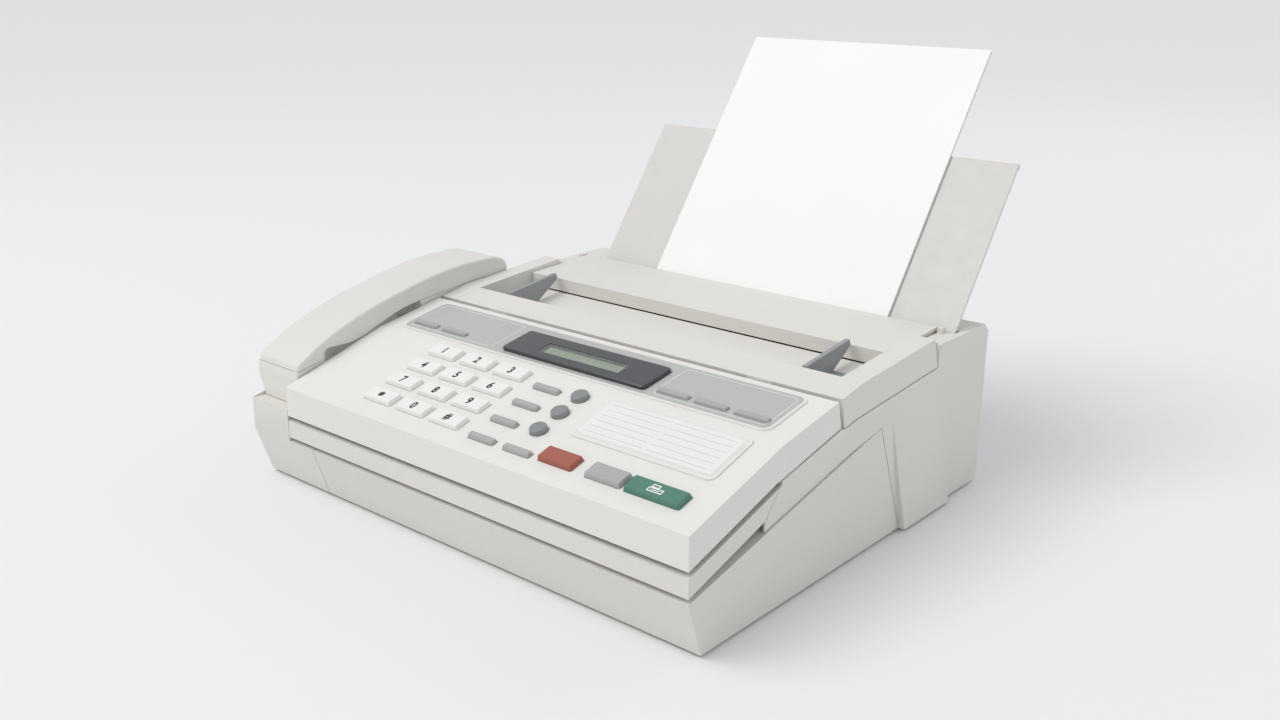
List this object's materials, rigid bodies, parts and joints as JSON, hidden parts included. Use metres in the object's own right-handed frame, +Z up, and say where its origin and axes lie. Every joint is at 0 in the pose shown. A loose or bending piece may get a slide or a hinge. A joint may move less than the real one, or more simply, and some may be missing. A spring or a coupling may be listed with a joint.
{
  "type": "fax machine",
  "caption": "Desktop plain-paper fax: sloping hinged control panel, side handset on a cradle, top document feeder and a rear sheet support.",
  "frame": {"origin": "on the table, in the middle of the whole machine's footprint box, under the rubber feet's bottoms", "axes": "+Z up, +Y to the back where the sheets stand, +X to the right as the user faces it"},
  "size_m": [0.407, 0.4222, 0.2948],
  "materials": {
    "casing_plastic": "fine moulded texture",
    "panel_shell": "fine moulded texture",
    "inner_plastic": "moulded, plain",
    "number_keys": "smooth moulded",
    "function_keys": "smooth moulded",
    "round_buttons": "smooth moulded",
    "start_key": "smooth moulded",
    "stop_key": "smooth moulded",
    "display_frame": "polished",
    "display_window": "clear pane over a grey-green display",
    "circuit_board": "solder resist",
    "handset_plastic": "fine moulded texture",
    "guide_plastic": "smooth moulded",
    "roller_rubber": "ground",
    "ink_film": "wound film",
    "heat_sink": "extruded",
    "sensor_black": "moulded",
    "motor_steel": "plated",
    "foot_rubber": "moulded",
    "screw_steel": "plated",
    "sheet_paper": "plain sheets",
    "support_plastic": "fine moulded texture"
  },
  "bodies": {
    "chassis": {"main_housing": "casing_plastic", "base_shell": "casing_plastic", "lower_cover": "casing_plastic", "feeder_frame": "casing_plastic", "handset_cradle": "casing_plastic", "main_board": "circuit_board", "power_supply": "circuit_board", "phone_jacks": "sensor_black", "image_sensor": "sensor_black", "print_head": "heat_sink", "feed_motor": "motor_steel", "rubber_feet": "foot_rubber", "case_screws": "screw_steel"},
    "panel": {"control_panel": "panel_shell", "panel_base": "inner_plastic", "panel_board": "circuit_board", "display_housing": "display_frame", "display_window": "display_window"},
    "cover": {"top_cover": "casing_plastic"},
    "right_guide": {"guide_right": "guide_plastic"},
    "left_guide": {"guide_left": "guide_plastic"},
    "pinion": {"guide_pinion": "inner_plastic"},
    "handset": {"handset_back": "handset_plastic", "handset_face": "handset_plastic"},
    "hook": {"hook_switch": "inner_plastic"},
    "support": {"paper_support": "support_plastic"},
    "sheets": {"paper_stack": "sheet_paper"},
    "feed_roller": {"document_roller": "roller_rubber"},
    "platen": {"platen_roller": "roller_rubber"},
    "pick": {"pick_roller": "roller_rubber"},
    "takeup": {"film_takeup_spool": "ink_film"},
    "supply": {"film_supply_spool": "ink_film"},
    "key_star": {"key_star": "number_keys"},
    "key_0": {"key_0": "number_keys"},
    "key_hash": {"key_hash": "number_keys"},
    "key_7": {"key_7": "number_keys"},
    "key_8": {"key_8": "number_keys"},
    "key_9": {"key_9": "number_keys"},
    "key_4": {"key_4": "number_keys"},
    "key_5": {"key_5": "number_keys"},
    "key_6": {"key_6": "number_keys"},
    "key_1": {"key_1": "number_keys"},
    "key_2": {"key_2": "number_keys"},
    "key_3": {"key_3": "number_keys"},
    "function_key_1": {"function_key_1": "function_keys"},
    "function_key_2": {"function_key_2": "function_keys"},
    "function_key_3": {"function_key_3": "function_keys"},
    "function_key_4": {"function_key_4": "function_keys"},
    "function_key_5": {"function_key_5": "function_keys"},
    "redial_button": {"redial_button": "round_buttons"},
    "hold_button": {"hold_button": "round_buttons"},
    "mute_button": {"mute_button": "round_buttons"},
    "stop_key": {"stop_key": "stop_key"},
    "copy_key": {"copy_key": "function_keys"},
    "start_key": {"start_key": "start_key"},
    "menu_key_1": {"menu_key_1": "function_keys"},
    "menu_key_2": {"menu_key_2": "function_keys"},
    "menu_key_3": {"menu_key_3": "function_keys"},
    "menu_key_4": {"menu_key_4": "function_keys"},
    "menu_key_5": {"menu_key_5": "function_keys"}
  },
  "joints": [
    {"name": "panel_hinge", "type": "hinge", "parent": "chassis", "child": "panel", "pos_m": [0.02175, -0.06888, 0.1083], "axis": [-1, 0, 0], "range_deg": [0, 45]},
    {"name": "cover_hinge", "type": "hinge", "parent": "chassis", "child": "cover", "pos_m": [0.02175, 0.07792, 0.1196], "axis": [-1, 0, 0], "range_deg": [0, 85]},
    {"name": "handset_lift", "type": "slide", "parent": "chassis", "child": "handset", "axis": [0, -0.2185, 0.9758], "range_m": [0, 0.08]},
    {"name": "guide_slide", "type": "slide", "parent": "chassis", "child": "right_guide", "axis": [-1, 0, 0], "range_m": [0, 0.055]},
    {"name": "support_lift", "type": "slide", "parent": "chassis", "child": "support", "axis": [0, 0.5906, 0.807], "range_m": [0, 0.06]},
    {"name": "sheet_lift", "type": "slide", "parent": "chassis", "child": "sheets", "axis": [0, 0.5906, 0.807], "range_m": [0, 0.12]},
    {"name": "left_guide_slide", "type": "slide", "parent": "chassis", "child": "left_guide", "axis": [1, 0, 0], "range_m": [0, 0.055]},
    {"name": "pinion_turn", "type": "hinge", "parent": "chassis", "child": "pinion", "pos_m": [0.02175, -0.02379, 0.09481], "axis": [0, -0.1736, 0.9848], "range_deg": [0, 394.4]},
    {"name": "hook_release", "type": "slide", "parent": "chassis", "child": "hook", "axis": [0, -0.2185, 0.9758], "range_m": [0, 0.004]},
    {"name": "document_feed", "type": "hinge", "parent": "chassis", "child": "feed_roller", "pos_m": [0.02175, -0.08608, 0.0814], "axis": [1, 0, 0], "continuous": true},
    {"name": "platen_turn", "type": "hinge", "parent": "chassis", "child": "platen", "pos_m": [0.02175, 0.02092, 0.06], "axis": [1, 0, 0], "continuous": true},
    {"name": "pick_turn", "type": "hinge", "parent": "chassis", "child": "pick", "pos_m": [0.02175, 0.06023, 0.07189], "axis": [1, 0, 0], "continuous": true},
    {"name": "takeup_turn", "type": "hinge", "parent": "chassis", "child": "takeup", "pos_m": [0.02175, 0.02442, 0.0945], "axis": [1, 0, 0], "continuous": true},
    {"name": "supply_turn", "type": "hinge", "parent": "chassis", "child": "supply", "pos_m": [0.02175, 0.04842, 0.097], "axis": [1, 0, 0], "continuous": true},
    {"name": "key_star_press", "type": "slide", "parent": "panel", "child": "key_star", "axis": [0, 0.2862, -0.9582], "range_m": [0, 0.0015], "stiffness_N_per_m": 400, "springref_m": -0.001},
    {"name": "key_0_press", "type": "slide", "parent": "panel", "child": "key_0", "axis": [0, 0.2862, -0.9582], "range_m": [0, 0.0015], "stiffness_N_per_m": 400, "springref_m": -0.001},
    {"name": "key_hash_press", "type": "slide", "parent": "panel", "child": "key_hash", "axis": [0, 0.2862, -0.9582], "range_m": [0, 0.0015], "stiffness_N_per_m": 400, "springref_m": -0.001},
    {"name": "key_7_press", "type": "slide", "parent": "panel", "child": "key_7", "axis": [0, 0.2862, -0.9582], "range_m": [0, 0.0015], "stiffness_N_per_m": 400, "springref_m": -0.001},
    {"name": "key_8_press", "type": "slide", "parent": "panel", "child": "key_8", "axis": [0, 0.2862, -0.9582], "range_m": [0, 0.0015], "stiffness_N_per_m": 400, "springref_m": -0.001},
    {"name": "key_9_press", "type": "slide", "parent": "panel", "child": "key_9", "axis": [0, 0.2862, -0.9582], "range_m": [0, 0.0015], "stiffness_N_per_m": 400, "springref_m": -0.001},
    {"name": "key_4_press", "type": "slide", "parent": "panel", "child": "key_4", "axis": [0, 0.2862, -0.9582], "range_m": [0, 0.0015], "stiffness_N_per_m": 400, "springref_m": -0.001},
    {"name": "key_5_press", "type": "slide", "parent": "panel", "child": "key_5", "axis": [0, 0.2862, -0.9582], "range_m": [0, 0.0015], "stiffness_N_per_m": 400, "springref_m": -0.001},
    {"name": "key_6_press", "type": "slide", "parent": "panel", "child": "key_6", "axis": [0, 0.2862, -0.9582], "range_m": [0, 0.0015], "stiffness_N_per_m": 400, "springref_m": -0.001},
    {"name": "key_1_press", "type": "slide", "parent": "panel", "child": "key_1", "axis": [0, 0.2862, -0.9582], "range_m": [0, 0.0015], "stiffness_N_per_m": 400, "springref_m": -0.001},
    {"name": "key_2_press", "type": "slide", "parent": "panel", "child": "key_2", "axis": [0, 0.2862, -0.9582], "range_m": [0, 0.0015], "stiffness_N_per_m": 400, "springref_m": -0.001},
    {"name": "key_3_press", "type": "slide", "parent": "panel", "child": "key_3", "axis": [0, 0.2862, -0.9582], "range_m": [0, 0.0015], "stiffness_N_per_m": 400, "springref_m": -0.001},
    {"name": "function_key_1_press", "type": "slide", "parent": "panel", "child": "function_key_1", "axis": [0, 0.2862, -0.9582], "range_m": [0, 0.0015], "stiffness_N_per_m": 400, "springref_m": -0.001},
    {"name": "function_key_2_press", "type": "slide", "parent": "panel", "child": "function_key_2", "axis": [0, 0.2862, -0.9582], "range_m": [0, 0.0015], "stiffness_N_per_m": 400, "springref_m": -0.001},
    {"name": "function_key_3_press", "type": "slide", "parent": "panel", "child": "function_key_3", "axis": [0, 0.2862, -0.9582], "range_m": [0, 0.0015], "stiffness_N_per_m": 400, "springref_m": -0.001},
    {"name": "function_key_4_press", "type": "slide", "parent": "panel", "child": "function_key_4", "axis": [0, 0.2862, -0.9582], "range_m": [0, 0.0015], "stiffness_N_per_m": 400, "springref_m": -0.001},
    {"name": "function_key_5_press", "type": "slide", "parent": "panel", "child": "function_key_5", "axis": [0, 0.2862, -0.9582], "range_m": [0, 0.0015], "stiffness_N_per_m": 400, "springref_m": -0.001},
    {"name": "redial_button_press", "type": "slide", "parent": "panel", "child": "redial_button", "axis": [0, 0.2862, -0.9582], "range_m": [0, 0.0015], "stiffness_N_per_m": 400, "springref_m": -0.001},
    {"name": "hold_button_press", "type": "slide", "parent": "panel", "child": "hold_button", "axis": [0, 0.2862, -0.9582], "range_m": [0, 0.0015], "stiffness_N_per_m": 400, "springref_m": -0.001},
    {"name": "mute_button_press", "type": "slide", "parent": "panel", "child": "mute_button", "axis": [0, 0.2862, -0.9582], "range_m": [0, 0.0015], "stiffness_N_per_m": 400, "springref_m": -0.001},
    {"name": "stop_key_press", "type": "slide", "parent": "panel", "child": "stop_key", "axis": [0, 0.2862, -0.9582], "range_m": [0, 0.0015], "stiffness_N_per_m": 400, "springref_m": -0.001},
    {"name": "copy_key_press", "type": "slide", "parent": "panel", "child": "copy_key", "axis": [0, 0.2862, -0.9582], "range_m": [0, 0.0015], "stiffness_N_per_m": 400, "springref_m": -0.001},
    {"name": "start_key_press", "type": "slide", "parent": "panel", "child": "start_key", "axis": [0, 0.2862, -0.9582], "range_m": [0, 0.0015], "stiffness_N_per_m": 400, "springref_m": -0.001},
    {"name": "menu_key_1_press", "type": "slide", "parent": "panel", "child": "menu_key_1", "axis": [0, 0.1793, -0.9838], "range_m": [0, 0.0015], "stiffness_N_per_m": 400, "springref_m": -0.001},
    {"name": "menu_key_2_press", "type": "slide", "parent": "panel", "child": "menu_key_2", "axis": [0, 0.1793, -0.9838], "range_m": [0, 0.0015], "stiffness_N_per_m": 400, "springref_m": -0.001},
    {"name": "menu_key_3_press", "type": "slide", "parent": "panel", "child": "menu_key_3", "axis": [0, 0.1793, -0.9838], "range_m": [0, 0.0015], "stiffness_N_per_m": 400, "springref_m": -0.001},
    {"name": "menu_key_4_press", "type": "slide", "parent": "panel", "child": "menu_key_4", "axis": [0, 0.1793, -0.9838], "range_m": [0, 0.0015], "stiffness_N_per_m": 400, "springref_m": -0.001},
    {"name": "menu_key_5_press", "type": "slide", "parent": "panel", "child": "menu_key_5", "axis": [0, 0.1793, -0.9838], "range_m": [0, 0.0015], "stiffness_N_per_m": 400, "springref_m": -0.001}
  ],
  "couplings": [
    {"joint": "left_guide_slide", "follows": "guide_slide", "ratio": 1},
    {"joint": "pinion_turn", "follows": "guide_slide", "rad_per_m": 125},
    {"joint": "hook_release", "follows": "handset_lift", "ratio": 0.05}
  ]
}
